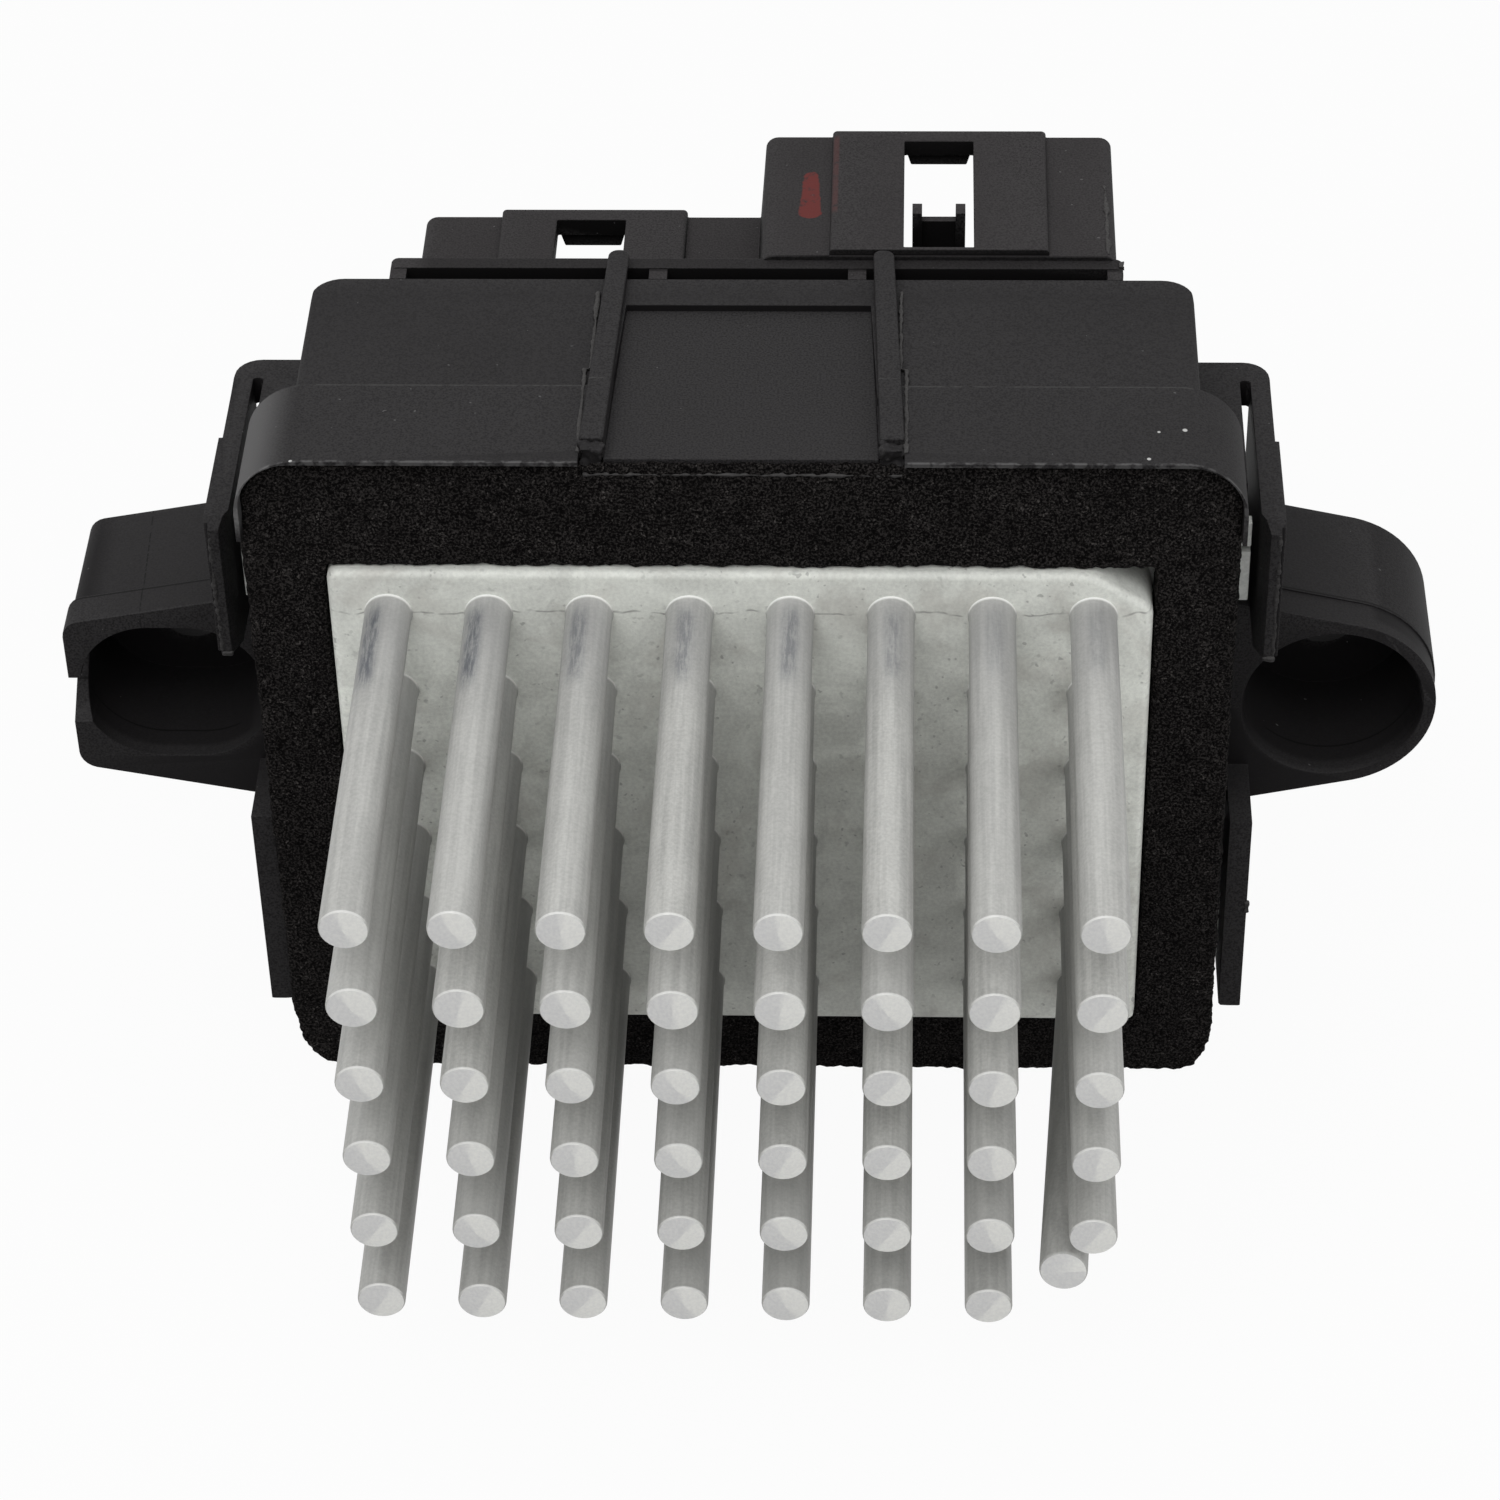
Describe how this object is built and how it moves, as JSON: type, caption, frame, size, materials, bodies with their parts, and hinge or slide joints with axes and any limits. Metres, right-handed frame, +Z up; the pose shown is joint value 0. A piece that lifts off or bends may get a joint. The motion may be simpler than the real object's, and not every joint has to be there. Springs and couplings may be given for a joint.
{
  "type": "blower motor resistor",
  "caption": "Blower motor resistor: cast aluminium heat sink with a field of round pins, foam seal, moulded housing with screw ears and a rear cover with connector sockets.",
  "frame": {"origin": "middle of the pin field, on the front face of the heat sink's pad", "axes": "+X along the line of the two screw ears, -Y out of the pad along the pins, +Z up"},
  "size_m": [0.1072, 0.0773, 0.0635],
  "materials": {
    "cast_aluminium": "as cast, slightly mottled",
    "foam": "open-cell foam",
    "housing_plastic": "fine moulded texture",
    "cover_plastic": "fine moulded texture",
    "tinned_brass": "tinned",
    "board": "solder mask",
    "zinc_plated_steel": "zinc plated",
    "package_plastic": "moulded",
    "insulator": "matte",
    "spring_steel": "plain",
    "capacitor_sleeve": "glossy sleeve",
    "film_case": "moulded case"
  },
  "bodies": {
    "root": {"heat_sink": "cast_aluminium", "foam_gasket": "foam", "front_housing": "housing_plastic", "rear_cover": "cover_plastic", "circuit_board": "board", "power_transistor_1": "package_plastic", "power_transistor_2": "package_plastic", "insulating_pad_1": "insulator", "insulating_pad_2": "insulator", "transistor_clamp": "spring_steel", "filter_capacitor": "capacitor_sleeve", "film_capacitor": "film_case", "shunt_resistor": "package_plastic", "control_chip": "package_plastic", "board_screw_1": "zinc_plated_steel", "board_screw_2": "zinc_plated_steel", "board_screw_3": "zinc_plated_steel", "board_screw_4": "zinc_plated_steel", "housing_screw_1": "zinc_plated_steel", "housing_screw_2": "zinc_plated_steel", "housing_screw_3": "zinc_plated_steel", "housing_screw_4": "zinc_plated_steel", "clamp_screw": "zinc_plated_steel", "power_terminal_1": "tinned_brass", "power_terminal_2": "tinned_brass", "power_terminal_3": "tinned_brass", "power_terminal_4": "tinned_brass", "signal_terminal_1": "tinned_brass", "signal_terminal_2": "tinned_brass", "signal_terminal_3": "tinned_brass", "signal_terminal_4": "tinned_brass", "signal_terminal_5": "tinned_brass", "signal_terminal_6": "tinned_brass", "signal_terminal_7": "tinned_brass"}
  },
  "joints": []
}
